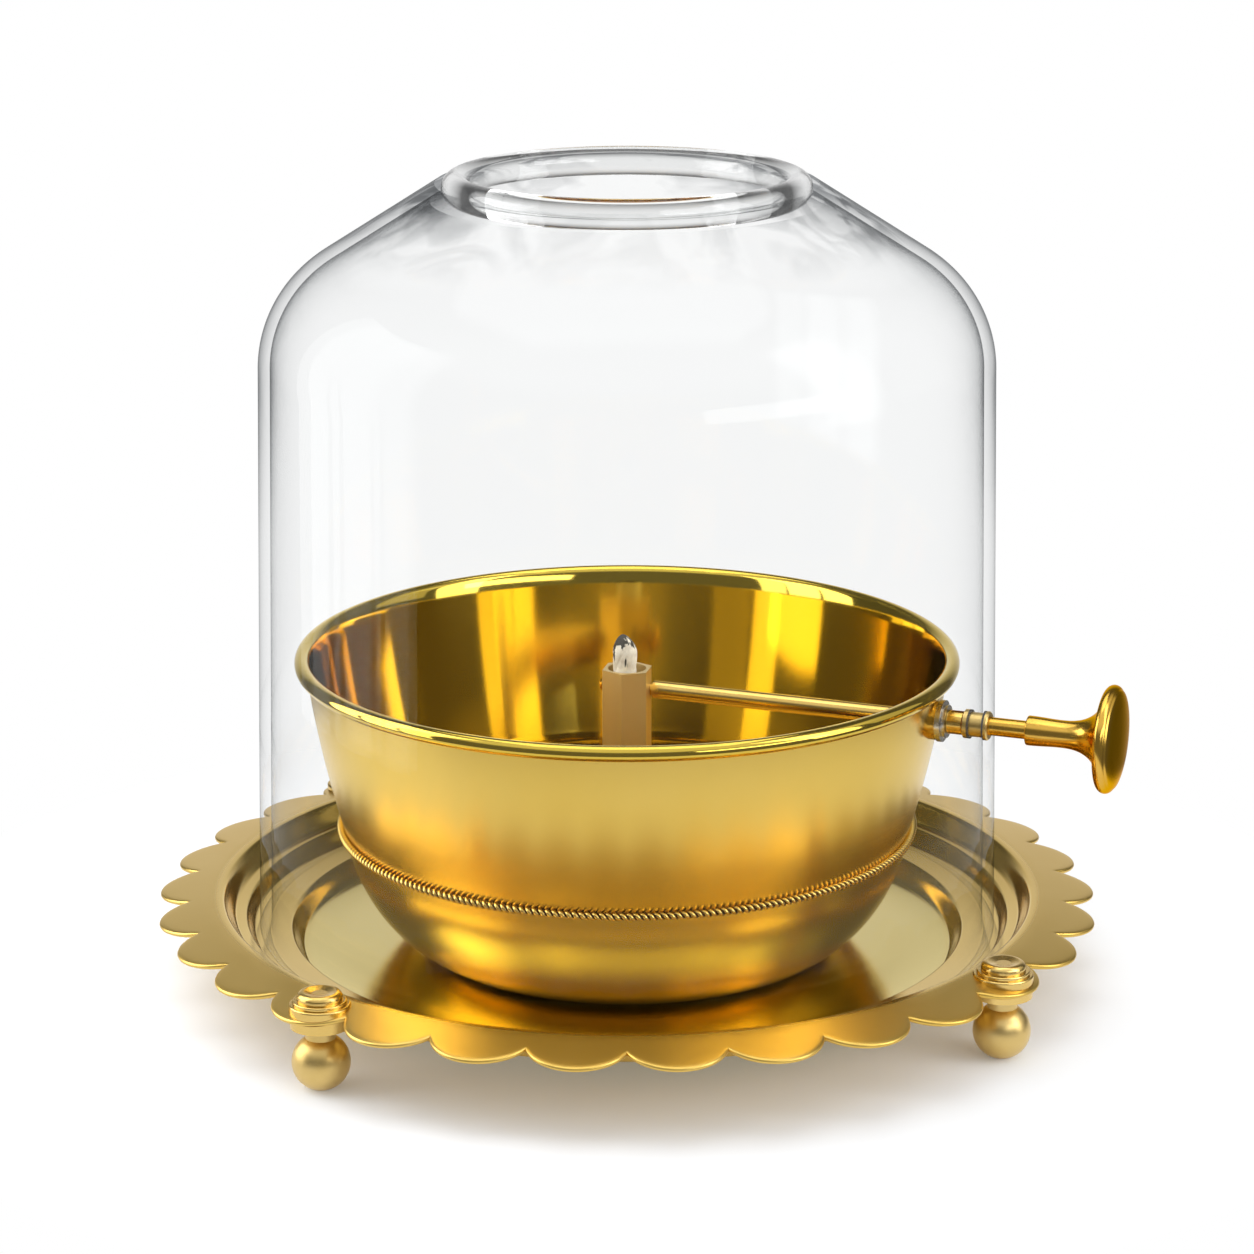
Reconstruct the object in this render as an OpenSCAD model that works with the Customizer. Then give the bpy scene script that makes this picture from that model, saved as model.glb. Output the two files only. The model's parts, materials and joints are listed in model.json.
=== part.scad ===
// Akhand diya: a brass oil lamp with a wick-raising knob under a glass chimney.
// The origin is on the lamp's upright axis at table level. +Z is up and +X runs out along the knob.

/* [Tray] */
// Width of the flange from its crest to the tips of its scallops
flange_w = 13; // [12.4:0.2:14]
// Number of scallops round the edge
scallops = 30; // [28:1:32]
// How far each scallop stands out from the notches beside it
scallop_depth = 6.8; // [4:0.2:8]
// Angle of the first scallop's middle from the knob
scallop_turn = -15; // [-18:1:-12]
// Thickness of the pressed sheet
tray_t = 1; // [0.8:0.1:1.2]
// Gap between the tray's underside and the table
tray_gap = 5.1; // [5:0.1:6]
// Height of the tray's crest over its floor
tray_deep = 12.5; // [11.5:0.5:14]
// How far the flange droops from the crest to the scallop tips
flange_drop = 1.85; // [1.2:0.05:2.4]
// Height of the chimney's seat over the floor
seat_up = 4.7; // [4:0.1:5.5]
// How far the seat reaches in from the chimney's outside
seat_in = 6.8; // [6:0.1:8]
// Gap between the chimney's foot and the step round it
seat_clear = 0.9; // [0.6:0.1:1.2]
// Width of the step from the floor up to the seat
floor_step_w = 3.4; // [2.6:0.1:4]
// Width of the step from the seat up to the ring
ring_step_w = 2.3; // [2:0.1:3]
// Height of the ring over the seat
ring_up = 3.4; // [2.8:0.1:4]
// Width of the level ring
ring_w = 1.8; // [1.4:0.1:2.4]
// Width of the step from the ring up to the crest
crest_step_w = 3.4; // [3:0.1:3.6]
// Width of the level crest
crest_w = 1.4; // [1:0.1:2]

/* [Feet] */
// Diameter of the ball
ball_d = 12.4; // [12:0.1:12.8]
// Small flat that the ball stands on
ball_flat = 0.3; // [0.1:0.05:0.4]
// Distance of a foot's middle from the scallop tips
foot_inset = 7.4; // [7:0.1:8]
// Turn of the right foot from its scallop's middle
right_turn = 0.2; // [0:0.1:0.6]
// Turn of the front foot from its scallop's middle
front_turn = 1.6; // [1:0.1:2]
// Turn of the left and rear feet from their scallops' middles
back_turn = 0.9; // [0.4:0.1:1.4]
// Diameter of the neck between ball and drum
foot_neck_d = 6.4; // [5.8:0.1:7]
// Diameter of the drum under the flange
drum_d = 12.8; // [12:0.2:13]
// Height of that drum
drum_h = 2.9; // [2.5:0.1:3.3]
// Diameter of the cap's lower ring
cap_d = 13; // [12.2:0.2:13]
// Thickness of the cap's lower ring
cap_ring_t = 1.1; // [0.9:0.1:1.3]
// Diameter of the cap's upper ring
cap_step_d = 11.4; // [11:0.1:11.8]
// Thickness of that ring
cap_step_t = 0.8; // [0.6:0.1:1]
// Diameter of the cap's dome
dome_d = 9.6; // [9:0.1:10.4]
// Height of the dome over the ring
dome_h = 1.8; // [1.6:0.1:2.2]
// Rounding of the dome's shoulder
dome_round = 1.3; // [1:0.1:1.5]
// Depth of the dish in the dome's top
dish = 0.4; // [0.2:0.1:0.6]
// Diameter of the stud that holds a foot on
foot_stud_d = 4; // [3.5:0.1:4.5]

/* [Bowl] */
// Room between the bowl's rim and the inside of the chimney
rim_gap = 5.15; // [4.85:0.05:5.55]
// Height of the rim's middle over the tray floor
bowl_h = 66.2; // [64:0.2:69]
// Radius of the rolled rim
rim_r = 1.7; // [1.4:0.1:1.8]
// Thickness of the bowl
bowl_t = 1.2; // [1:0.1:1.4]
// Height of the crease that holds the rope band
crease_h = 27.8; // [26:0.2:30]
// Radius of the bowl at the crease
crease_r = 63.4; // [62:0.2:64]
// Radius of the flat that the bowl stands on
base_r = 42; // [39:0.5:44]
// Fullness of the lower bowl's curve
basin_curve = 1.7; // [1.5:0.05:1.9]
// How far the upper wall bows out
wall_bow = 0.7; // [0:0.1:1.2]
// Thickness of the rope band
rope_d = 1.9; // [1.6:0.1:2]

/* [Post and wick] */
// Distance across the flats of the post
post_af = 10; // [9.8:0.1:10.6]
// Turn of the post's flats from the knob
post_turn = 8.5; // [4:0.5:12]
// How far the post's top lies under the rim's middle
post_below = 2.9; // [2.4:0.1:3.6]
// Diameter of the bore that the wick runs in
post_bore = 8.6; // [8.4:0.1:8.8]
// Diameter of the wick
wick_d = 5.6; // [5.2:0.1:5.7]
// Length of wick that shows over the post
wick_show = 8.1; // [6:0.1:9]
// Diameter of the oil ports in the post's foot
port_d = 5; // [4:0.2:5.4]
// Diameter of the stud that clamps post, bowl and tray
stud_d = 6; // [5:0.5:6]
// Thickness of the gasket under the post
gasket_under = 0.6; // [0.4:0.1:1]
// Length of solid post over the gasket
post_solid = 6; // [5:0.5:8]
// Length of wick in the lamp
wick_l = 52; // [46:1:54]
// Diameter of the washer under the tray
clamp_washer_d = 13; // [12:0.5:16]
// Thickness of that washer
clamp_washer_t = 0.8; // [0.6:0.1:1]
// Distance across the flats of the nut under the tray
clamp_nut_af = 10; // [9:0.5:11]
// Height of that nut
clamp_nut_h = 2.6; // [2.4:0.1:2.8]

/* [Spindle] */
// Diameter of the spindle and of the knob's rod
spindle_d = 4; // [3.8:0.1:4.2]
// How far the spindle's middle lies under the post's top
spindle_below = 5.2; // [4.8:0.1:5.8]
// Diameter of the toothed roller over its teeth
roller_d = 2.5; // [2.4:0.05:2.6]
// Number of teeth on the roller
roller_teeth = 10; // [8:1:12]
// Diameter of the spindle's slotted head
head_d = 5.2; // [5:0.1:5.4]
// Length of the slotted part of the head
head_l = 3.4; // [3.2:0.1:3.6]
// Thickness of the tongue that drives the head
tongue_t = 1.2; // [1:0.1:1.4]
// Diameter of the bush in the bowl's wall
gland_d = 5.6; // [5.4:0.1:5.8]
// Diameter of the thrust washer
thrust_d = 7.2; // [6.8:0.1:7.6]
// Thickness of the thrust washer
thrust_t = 0.8; // [0.6:0.1:1]
// Thickness of the nut outside the bowl's wall
gland_nut_t = 1.1; // [0.9:0.1:1.3]
// Diameter of that nut
gland_nut_d = 9.2; // [8.8:0.1:9.6]
// Thickness of the bush's flange inside the wall
gland_flange_t = 0.8; // [0.6:0.1:1]
// How far the boss stands out from the bowl's wall
boss_out = 1.35; // [1.2:0.05:1.6]
// Length of the boss in the bowl's wall
boss_l = 3.4; // [3.2:0.1:3.8]
// Wall of the packing round the spindle
packing_t = 0.4; // [0.3:0.05:0.45]
// Radius of the spindle's thin end
thin_r = 0.75; // [0.65:0.05:0.85]
// Length of the roller
roller_l = 6; // [5.4:0.1:6.2]
// Radius of the cap on the spindle's end
end_cap_r = 1.7; // [1.5:0.1:2]

/* [Chimney] */
// Outside radius of the chimney at its foot
glass_foot_r = 83.2; // [82.8:0.1:83.6]
// Outside radius where the shoulder begins
glass_top_r = 80.4; // [80:0.1:81.6]
// Height of the chimney over the table
glass_h = 181; // [178:0.2:186]
// Thickness of the glass
glass_t = 2.6; // [2.4:0.1:2.7]
// Radius of the shoulder's curve
shoulder_r = 28; // [24:1:30]
// Slope of the cone over the shoulder
cone_slope = 32.5; // [30:0.5:35]
// Radius of the clear mouth
mouth_r = 33.6; // [32:0.2:35]
// Thickness of the rolled lip
lip_d = 6.6; // [6:0.2:7.2]
// Diameter of the collar outside the glass
collar_d = 6.4; // [6.2:0.1:6.8]
// Length of that collar
collar_l = 0.8; // [0.6:0.1:1]
// Diameter of the bush's barrel in the glass
barrel_d = 5.4; // [5.2:0.1:5.5]
// Gap round the barrel in the hole through the glass
hole_gap = 0.15; // [0.1:0.05:0.2]
// Thickness of the gaskets on both sides of the glass
gasket_t = 0.45; // [0.4:0.05:0.55]
// Thickness of the nut inside the glass
bush_nut_t = 0.9; // [0.8:0.05:1]
// Diameter of that nut
bush_nut_d = 6.4; // [6.2:0.1:6.8]
// Width of the ring that keeps the rod in the bush
keep_w = 0.6; // [0.5:0.05:0.7]
// Depth of that ring in the bush
keep_deep = 0.3; // [0.25:0.05:0.35]

/* [Knob] */
// Length of bare rod between collar and knob
rod_show = 8.4; // [7:0.2:10]
// Length of the knob
knob_l = 20.8; // [19.8:0.2:22]
// Diameter of the knob's disc
knob_d = 23.6; // [22.6:0.2:25]
// Diameter of the knob's neck
neck_d = 6.5; // [6.3:0.1:7]
// Radius of the rounded edge of the disc
disc_edge = 1.2; // [1:0.1:1.5]
// How far the disc's face bulges past its edge
face_bulge = 0.4; // [0.2:0.1:0.8]
// Length of straight neck before the flare
neck_l = 7.2; // [6.4:0.2:8]
// Depth of the rod in the knob
rod_in = 8; // [7:0.2:9]
// Diameter of the pin through knob and rod
pin_d = 1.2; // [1:0.1:1.4]
// Distance of that pin from the knob's inner end
pin_at = 3; // [2.4:0.1:4]

/* [Fits] */
// Radial gap where a shaft turns
run = 0.05; // [0.03:0.01:0.08]
// Radial gap where two pieces are fixed together
slip = 0.02; // [0.01:0.01:0.03]
// Gap between the wick and what is beside it
wick_gap = 0.2; // [0.15:0.05:0.3]
// Gap between the spindle's head and the bush in the glass
head_gap = 0.4; // [0.3:0.05:0.5]
// Gap on each side of the tongue in its slot
tongue_gap = 0.1; // [0.08:0.02:0.16]

/* [Hidden] */
$fn = 96;

// Heights
floor_z = tray_gap + tray_t;
seat_z = floor_z + seat_up;
crest_z = floor_z + tray_deep;
rim_z = floor_z + bowl_h;
post_top = rim_z - post_below;
rod_z = post_top - spindle_below;
wick_top = post_top + wick_show;

// The chimney, with its outer face leaning in from the foot to the shoulder
lip_c = [mouth_r + lip_d / 2, glass_h - lip_d / 2];
shoulder_x = glass_top_r - shoulder_r;
shoulder_z = lip_c[1] - (shoulder_x - lip_c[0]) * tan(cone_slope)
    - (shoulder_r - lip_d / 2) / cos(cone_slope);
glass_lean = (glass_foot_r - glass_top_r) / (shoulder_z - seat_z);

// The bowl fills the chimney up to a gap round its rim
bowl_r = glass_foot_r - glass_lean * (rim_z - seat_z) - glass_t - rim_gap - rim_r;
crease_z = floor_z + crease_h;
wall_top = rim_z - rim_r * 0.5;
wall_r = bowl_r - rim_r * 0.5;
wall_foot = [crease_r + 0.6, crease_z + 1.1];
wall_head = [wall_r, wall_top - rim_r * 0.4];

// The tray is made to the chimney's foot
seat_end_r = glass_foot_r + seat_clear;
ring_r = seat_end_r + ring_step_w;
crest_in_r = ring_r + ring_w + crest_step_w;
crest_r = crest_in_r + crest_w;
tip_r = crest_r + flange_w;
notch_r = tip_r - scallop_depth;
ring_z = seat_z + ring_up;
pitch = 360 / scallops;
notch_half = notch_r * sin(pitch / 2);
lobe_rise = tip_r - notch_r * cos(pitch / 2);
lobe_r = (notch_half ^ 2 + lobe_rise ^ 2) / (2 * lobe_rise);
flange_slope = flange_drop / flange_w;

// Feet stand under scallops, with the rear pair closer together
foot_r = tip_r - foot_inset;
foot_lobe = [0, -round(scallops * 0.267), -round(scallops * 0.533), round(scallops * 0.233)];
foot_turn = [right_turn, front_turn, back_turn, back_turn];
foot_top_z = crest_z - (foot_r - crest_r) * flange_slope;
cap_top = cap_ring_t + cap_step_t + dome_h;
ball_z = ball_d / 2 - ball_flat;
drum_z = foot_top_z - tray_t - drum_h;

// Spindle line: beside the wick, so that the roller's teeth reach its flank
wick_y = -(post_bore / 2 - wick_d / 2 - wick_gap);
rod_y = wick_y + wick_d / 2 + wick_gap + roller_d / 2;
journal_r = roller_d / 2 + 3 * run;
journal_x = post_af / 2 + 0.5;
end_x = -post_af / 2 - 0.8;
end_l = 1.4;

// Places along the knob's line, from the glass inwards and outwards
glass_x = glass_foot_r - glass_lean * (rod_z - seat_z);
inner_r = glass_x - glass_t;
wall_sag = inner_r - sqrt(inner_r ^ 2 - (rod_y + bush_nut_d / 2) ^ 2)
    + abs(glass_lean) * bush_nut_d / 2;
barrel_x = inner_r - wall_sag - gasket_t - bush_nut_t;
collar_x = glass_x + gasket_t;
knob_x = collar_x + collar_l + rod_show;
wall_t = (rod_z - wall_foot[1]) / (wall_head[1] - wall_foot[1]);
boss_x = wall_foot[0] + (wall_head[0] - wall_foot[0]) * wall_t
    + wall_bow * 4 * wall_t * (1 - wall_t) + boss_out;
head_x = boss_x + gland_nut_t + thrust_t + 3 * run;
head_end = barrel_x - head_gap;
slot_x = head_end - head_l + 0.7;
hole_d = barrel_d + 2 * hole_gap;
groove_x = glass_x - glass_t / 2;
groove_w = keep_w + 4 * run;
keep_r = spindle_d / 2 + keep_deep;
groove_r = spindle_d / 2 - 0.5;

brass = [0.86, 0.71, 0.36];
bronze = [0.72, 0.49, 0.16];
satin = [0.80, 0.66, 0.36];
steel = [0.78, 0.78, 0.76];

// Points on an arc round c, from angle a0 to a1
function arc(c, r, a0, a1, n) =
    [for (i = [0:n]) c + r * [cos(a0 + (a1 - a0) * i / n), sin(a0 + (a1 - a0) * i / n)]];

// Points of a soft step from p up to q, both ends level
function step(p, q, n = 8) =
    [for (i = [0:n]) let (t = i / n) [p[0] + (q[0] - p[0]) * t, p[1] + (q[1] - p[1]) * (3 - 2 * t) * t * t]];

function reversed(list) = [for (i = [len(list) - 1:-1:0]) list[i]];

// Upper face of the tray from its middle to past the tips
function tray_top() = concat(
    [[0, floor_z]],
    step([glass_foot_r - seat_in - floor_step_w, floor_z], [glass_foot_r - seat_in, seat_z]),
    step([seat_end_r, seat_z], [ring_r, ring_z]),
    step([ring_r + ring_w, ring_z], [crest_in_r, crest_z]),
    [[crest_r, crest_z], [tip_r + 2, crest_z - (tip_r + 2 - crest_r) * flange_slope]]);

// Radius of the lower bowl at a fraction u of the way down from the crease
function basin(u, r, w) = w + (r - w) * (1 - u ^ basin_curve) ^ (1 / basin_curve);

// Points of the lower bowl from its base up to the crease
function basin_points(r, top, deep, n = 16) =
    [for (i = [0:n]) let (u = cos(90 * i / n)) [basin(u, r, base_r), top - deep * u]];

// Points of the upper wall from the crease to the rim
function wall_points(r0, r1, z0, z1, n = 8) =
    [for (i = [0:n]) let (t = i / n) [r0 + (r1 - r0) * t + wall_bow * 4 * t * (1 - t), z0 + (z1 - z0) * t]];

// A cylinder lying along the knob's line from x0 to x1
module bar(x0, x1, d) {
    translate([x0, rod_y, rod_z]) rotate([0, 90, 0]) cylinder(h = x1 - x0, d = d);
}

// A drilling along the knob's line from x0 to x1
module drill(x0, x1, d) {
    bar(x0, x1, d);
}

// A solid that turns about the knob's line, from points of distance and radius
module turned(points) {
    translate([0, rod_y, rod_z]) rotate([0, 90, 0]) rotate([0, 0, 90])
        rotate_extrude() polygon([for (p = points) [p[1], p[0]]]);
}

module at_foot(i) {
    rotate([0, 0, scallop_turn + foot_turn[i] + foot_lobe[i] * pitch]) translate([foot_r, 0, 0]) children();
}

// Everything over the flange, lowered by d, to shape what meets it
module over_flange(d) {
    translate([0, 0, -d]) rotate_extrude()
        polygon([[crest_r - 6, crest_z + 6 * flange_slope],
            [tip_r + 6, crest_z - (tip_r + 6 - crest_r) * flange_slope],
            [tip_r + 6, crest_z + 20],
            [crest_r - 6, crest_z + 20]]);
}

module scallop_outline() {
    circle(r = notch_r - 2);
    for (i = [0:scallops - 1])
        rotate(scallop_turn + i * pitch) translate([tip_r - lobe_r, 0]) circle(r = lobe_r);
}

module tray() color(brass) difference() {
    intersection() {
        rotate_extrude() polygon(concat(tray_top(),
            [for (p = reversed(tray_top())) p + [p[0] == 0 ? 0 : 0.8 * tray_t, -tray_t]]));
        linear_extrude(height = crest_z + 5) scallop_outline();
    }
    translate([0, 0, floor_z - 3]) cylinder(h = 6, d = stud_d + 0.4);
    for (i = [0:3])
        at_foot(i) cylinder(h = crest_z + 5, d = foot_stud_d + 0.3);
}

module foot_ball(i) color(satin) at_foot(i) {
    difference() {
        union() {
            translate([0, 0, ball_z]) sphere(d = ball_d);
            translate([0, 0, ball_z]) cylinder(h = drum_z - ball_z, d = foot_neck_d);
            translate([0, 0, drum_z - 1])
                cylinder(h = foot_top_z + cap_ring_t + 2 - drum_z, d = foot_stud_d);
        }
        translate([0, 0, -ball_d]) cylinder(h = ball_d, d = ball_d);
    }
}

module foot_drum(i) color(brass) difference() {
    at_foot(i) difference() {
        translate([0, 0, drum_z]) cylinder(h = 2 * drum_h, d = drum_d);
        cylinder(h = crest_z + 5, d = foot_stud_d + 2 * slip);
    }
    over_flange(tray_t + slip);
}

module foot_cap(i) color(brass) intersection() {
    at_foot(i) difference() {
        translate([0, 0, foot_top_z]) rotate_extrude() polygon(concat(
            [[0, -2], [cap_d / 2, -2]],
            arc([cap_d / 2 - 0.4, cap_ring_t - 0.4], 0.4, 0, 90, 5),
            [[cap_step_d / 2, cap_ring_t]],
            arc([cap_step_d / 2 - 0.3, cap_ring_t + cap_step_t - 0.3], 0.3, 0, 90, 5),
            [[dome_d / 2, cap_ring_t + cap_step_t]],
            arc([dome_d / 2 - dome_round, cap_top - dome_round], dome_round, 0, 100, 9),
            [[dome_d * 0.17, cap_top - dish], [0, cap_top - dish]]));
        translate([0, 0, foot_top_z - 3]) cylinder(h = cap_ring_t + 4.1, d = foot_stud_d + 2 * slip);
    }
    over_flange(-slip);
}

module bowl() color(brass) {
    difference() {
        union() {
            rotate_extrude() polygon(concat(
                [[0, floor_z]],
                basin_points(crease_r, crease_z, crease_h),
                wall_points(wall_foot[0], wall_head[0], wall_foot[1], wall_head[1]),
                arc([bowl_r, rim_z], rim_r, -115, 165, 16),
                reversed(wall_points(crease_r - bowl_t + 0.4, wall_r - bowl_t, crease_z + 1.3, wall_top)),
                reversed(basin_points(crease_r - bowl_t, crease_z, crease_h - bowl_t)),
                [[0, floor_z + bowl_t]]));
            bar(boss_x - boss_l, boss_x, gland_nut_d - 0.6);
        }
        translate([0, 0, floor_z - 1]) cylinder(h = 4, d = stud_d + 0.4);
        drill(boss_x - 2 * boss_l, boss_x + boss_l, gland_d + 2 * slip);
        drill(boss_x - 2 * boss_l, boss_x - boss_l, thrust_d - 0.4 + 2 * slip);
    }
}

module rope_band() color(brass)
    translate([0, 0, crease_z]) rotate_extrude()
        translate([crease_r + rope_d / 2 + 0.12, 0]) circle(d = rope_d);

module wick_post() color(satin) {
    foot_z = floor_z + bowl_t + gasket_under;
    bore_z = foot_z + post_solid;
    difference() {
        translate([0, 0, foot_z]) rotate([0, 0, post_turn + 30])
            cylinder(h = post_top - foot_z, d = post_af / cos(30), $fn = 6);
        translate([0, 0, bore_z]) cylinder(h = post_top, d = post_bore);
        translate([0, 0, foot_z - 1]) cylinder(h = post_solid, d = stud_d + 2 * slip);
        for (a = [0, 60, 120])
            rotate([0, 0, post_turn + a]) translate([0, 0, bore_z + port_d / 2 + 1]) rotate([0, 90, 0])
                cylinder(h = 30, d = port_d, center = true);
        drill(-roller_l / 2 - 0.3, post_af, 2 * journal_r + 2 * run);
        drill(-post_af, post_af, 2 * thin_r + 2 * run);
    }
}

module post_stud() color(steel) {
    foot_z = tray_gap - clamp_washer_t - clamp_nut_h - 0.6;
    top_z = floor_z + bowl_t + gasket_under + post_solid - 1.5;
    translate([0, 0, foot_z]) cylinder(h = top_z - foot_z, d = stud_d);
}

module post_gasket() color([0.32, 0.16, 0.1]) translate([0, 0, floor_z + bowl_t]) difference() {
    cylinder(h = gasket_under, d = post_af - 0.4);
    translate([0, 0, -1]) cylinder(h = gasket_under + 2, d = stud_d + 2 * slip);
}

module clamp_washer() color(steel) translate([0, 0, tray_gap - clamp_washer_t]) difference() {
    cylinder(h = clamp_washer_t, d = clamp_washer_d);
    translate([0, 0, -1]) cylinder(h = clamp_washer_t + 2, d = stud_d + 2 * slip);
}

module clamp_nut() color(brass) translate([0, 0, tray_gap - clamp_washer_t - clamp_nut_h]) difference() {
    cylinder(h = clamp_nut_h, d = clamp_nut_af / cos(30), $fn = 6);
    translate([0, 0, -1]) cylinder(h = clamp_nut_h + 2, d = stud_d + 2 * slip);
}

// The bush has a pocket at its inner end for the packing
module gland_bush() color(brass) difference() {
    union() {
        bar(boss_x - boss_l - gland_flange_t, boss_x - boss_l, thrust_d - 0.4);
        bar(boss_x - boss_l, boss_x + gland_nut_t, gland_d);
    }
    drill(boss_x - 3 * boss_l, boss_x + boss_l, spindle_d + 2 * run);
    drill(boss_x - 3 * boss_l, boss_x - boss_l + gland_flange_t, spindle_d + 2 * run + 2 * packing_t);
}

module gland_packing() color([0.1, 0.1, 0.1]) difference() {
    bar(boss_x - boss_l - gland_flange_t, boss_x - boss_l + gland_flange_t, spindle_d + 2 * packing_t);
    drill(boss_x - 3 * boss_l, boss_x + boss_l, spindle_d + 2 * run);
}

module gland_nut() color(steel) difference() {
    bar(boss_x, boss_x + gland_nut_t, gland_nut_d);
    drill(boss_x - 1, boss_x + boss_l, gland_d + 2 * slip);
}

module thrust_washer() color(steel) difference() {
    bar(boss_x + gland_nut_t + run, boss_x + gland_nut_t + run + thrust_t, thrust_d);
    drill(boss_x - 1, head_x + 1, spindle_d + 2 * run);
}

// The slot stands upright at rest, so the tongue can lift out of it
module spindle() color(bronze) difference() {
    turned([[end_x - end_l, 0], [end_x - end_l, thin_r],
        [roller_l / 2 + 0.2, thin_r], [roller_l / 2 + 0.2, journal_r],
        [journal_x, journal_r], [journal_x, spindle_d / 2],
        [head_x, spindle_d / 2], [head_x, head_d / 2],
        [head_end, head_d / 2], [head_end, 0]]);
    translate([slot_x, rod_y - tongue_t / 2 - tongue_gap, rod_z - head_d])
        cube([head_l, tongue_t + 2 * tongue_gap, 2 * head_d]);
}

module feed_roller() color(steel) difference() {
    translate([-roller_l / 2, rod_y, rod_z]) rotate([0, 90, 0]) linear_extrude(height = roller_l)
        polygon([for (i = [0:2 * roller_teeth - 1])
            let (r = roller_d / 2 - 0.28 * (i % 2), a = 180 * i / roller_teeth)
                [r * cos(a), r * sin(a)]]);
    drill(-roller_l, roller_l, 2 * thin_r + 2 * slip);
}

module spindle_cap() color(bronze) difference() {
    turned([[end_x, 0], [end_x, end_cap_r], [end_x - end_l * 0.6, end_cap_r],
        [end_x - end_l, end_cap_r * 0.8], [end_x - end_l - 0.4, end_cap_r * 0.4],
        [end_x - end_l - 0.45, 0]]);
    drill(end_x - end_l - slip, 0, 2 * thin_r + 2 * slip);
}

module wick() color([0.93, 0.9, 0.82]) translate([0, wick_y, 0]) rotate_extrude() polygon([
    [0, wick_top - wick_l], [wick_d / 2, wick_top - wick_l], [wick_d / 2, wick_top - 1.2],
    [wick_d / 2 - 0.9, wick_top - 0.2], [0, wick_top]]);

// Outline of one face of the glass, set in by t from the outer face
function glass_side(t) = concat(
    [[glass_foot_r - t, seat_z]],
    arc([shoulder_x, shoulder_z], shoulder_r - t, 0, 90 - cone_slope, 14));

// The cone's outer face runs on into the lip, and the bead of the lip stands out inside
module glass_chimney() color([0.85, 0.92, 0.92, 0.35]) difference() {
    lip_end = 450 - cone_slope - acos(1 - 2 * glass_t / lip_d);
    rotate_extrude() polygon(concat(
        glass_side(0),
        arc(lip_c, lip_d / 2, 90 - cone_slope, lip_end, 24),
        reversed(glass_side(glass_t))));
    drill(glass_x - 12, glass_x + 8, hole_d);
}

// The straight wall of the chimney as a solid, grown by g, for what seats against it
module glass_wall(g) {
    translate([0, 0, seat_z])
        cylinder(h = shoulder_z - seat_z, r1 = glass_foot_r + g, r2 = glass_top_r + g, $fn = 720);
}

module glass_bush() color(brass) difference() {
    union() {
        bar(barrel_x, collar_x + collar_l / 2, barrel_d);
        turned([[collar_x, 0], [collar_x, collar_d / 2], [collar_x + collar_l - 0.3, collar_d / 2],
            [collar_x + collar_l, collar_d / 2 - 0.3], [collar_x + collar_l, 0]]);
    }
    drill(barrel_x - 5, collar_x + 9, spindle_d + 2 * run);
    drill(groove_x - keep_w / 2 - slip, groove_x + keep_w / 2 + slip, 2 * keep_r + 2 * slip);
}

module outer_gasket() color([0.2, 0.2, 0.2]) difference() {
    bar(glass_x - 2, collar_x, collar_d);
    glass_wall(slip);
    drill(glass_x - 9, glass_x + 9, barrel_d + 2 * slip);
}

module inner_gasket() color([0.2, 0.2, 0.2]) difference() {
    bar(barrel_x + bush_nut_t, barrel_x + bush_nut_t + gasket_t - slip, bush_nut_d);
    drill(glass_x - 9, glass_x + 9, barrel_d + 2 * slip);
}

module bush_nut() color(brass) difference() {
    bar(barrel_x, barrel_x + bush_nut_t, bush_nut_d);
    drill(glass_x - 9, glass_x + 9, barrel_d + 2 * slip);
}

// The ring sits in a groove of the bush and reaches into the groove of the rod
module keep_ring() color(steel) difference() {
    bar(groove_x - keep_w / 2, groove_x + keep_w / 2, 2 * keep_r);
    drill(groove_x - 2, groove_x + 2, 2 * groove_r + 6 * run);
}

// The tongue at the inner end sits in the slot of the spindle's head
module knob_rod() color(bronze) difference() {
    union() {
        bar(barrel_x, knob_x + rod_in, spindle_d);
        intersection() {
            bar(slot_x + 0.2, barrel_x + 1, spindle_d - 0.4);
            translate([slot_x, rod_y - tongue_t / 2, rod_z - spindle_d])
                cube([head_l + 2, tongue_t, 2 * spindle_d]);
        }
    }
    difference() {
        bar(groove_x - groove_w / 2, groove_x + groove_w / 2, spindle_d + 1);
        bar(groove_x - 2, groove_x + 2, 2 * groove_r);
    }
    translate([knob_x + pin_at, rod_y, rod_z]) rotate([90, 0, 0])
        cylinder(h = 12, d = pin_d + 2 * slip, center = true);
}

module knob() color(bronze) {
    n = neck_d / 2;
    edge_x = knob_x + knob_l - disc_edge - face_bulge;
    flare_x = knob_x + neck_l;
    edge_r = knob_d / 2 - disc_edge;
    difference() {
        turned(concat(
            [[knob_x, 0], [knob_x, n - 0.2], [knob_x + 0.2, n]],
            [for (i = [0:14]) let (t = i / 14)
                [flare_x + (edge_x - disc_edge * 0.75 - flare_x) * (1 - (1 - t) ^ 2.6),
                    n - 0.25 * sin(90 * min(1, 3 * t)) + (edge_r + 0.6 - n) * t ^ 2.1]],
            [for (a = [150:-13:20]) [edge_x + disc_edge * cos(a), edge_r + disc_edge * sin(a)]],
            [for (i = [1:5]) let (t = i / 5)
                [edge_x + disc_edge + face_bulge * sin(90 * t), (edge_r + disc_edge * 0.3) * cos(90 * t)]]));
        drill(knob_x - 1, knob_x + rod_in + slip, spindle_d + 2 * slip);
        translate([knob_x + pin_at, rod_y, rod_z]) rotate([90, 0, 0])
            cylinder(h = 3 * neck_d, d = pin_d + 2 * slip, center = true);
    }
}

module knob_pin() color(bronze)
    translate([knob_x + pin_at, rod_y, rod_z]) rotate([90, 0, 0])
        cylinder(h = neck_d - 0.3, d = pin_d, center = true);

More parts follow.
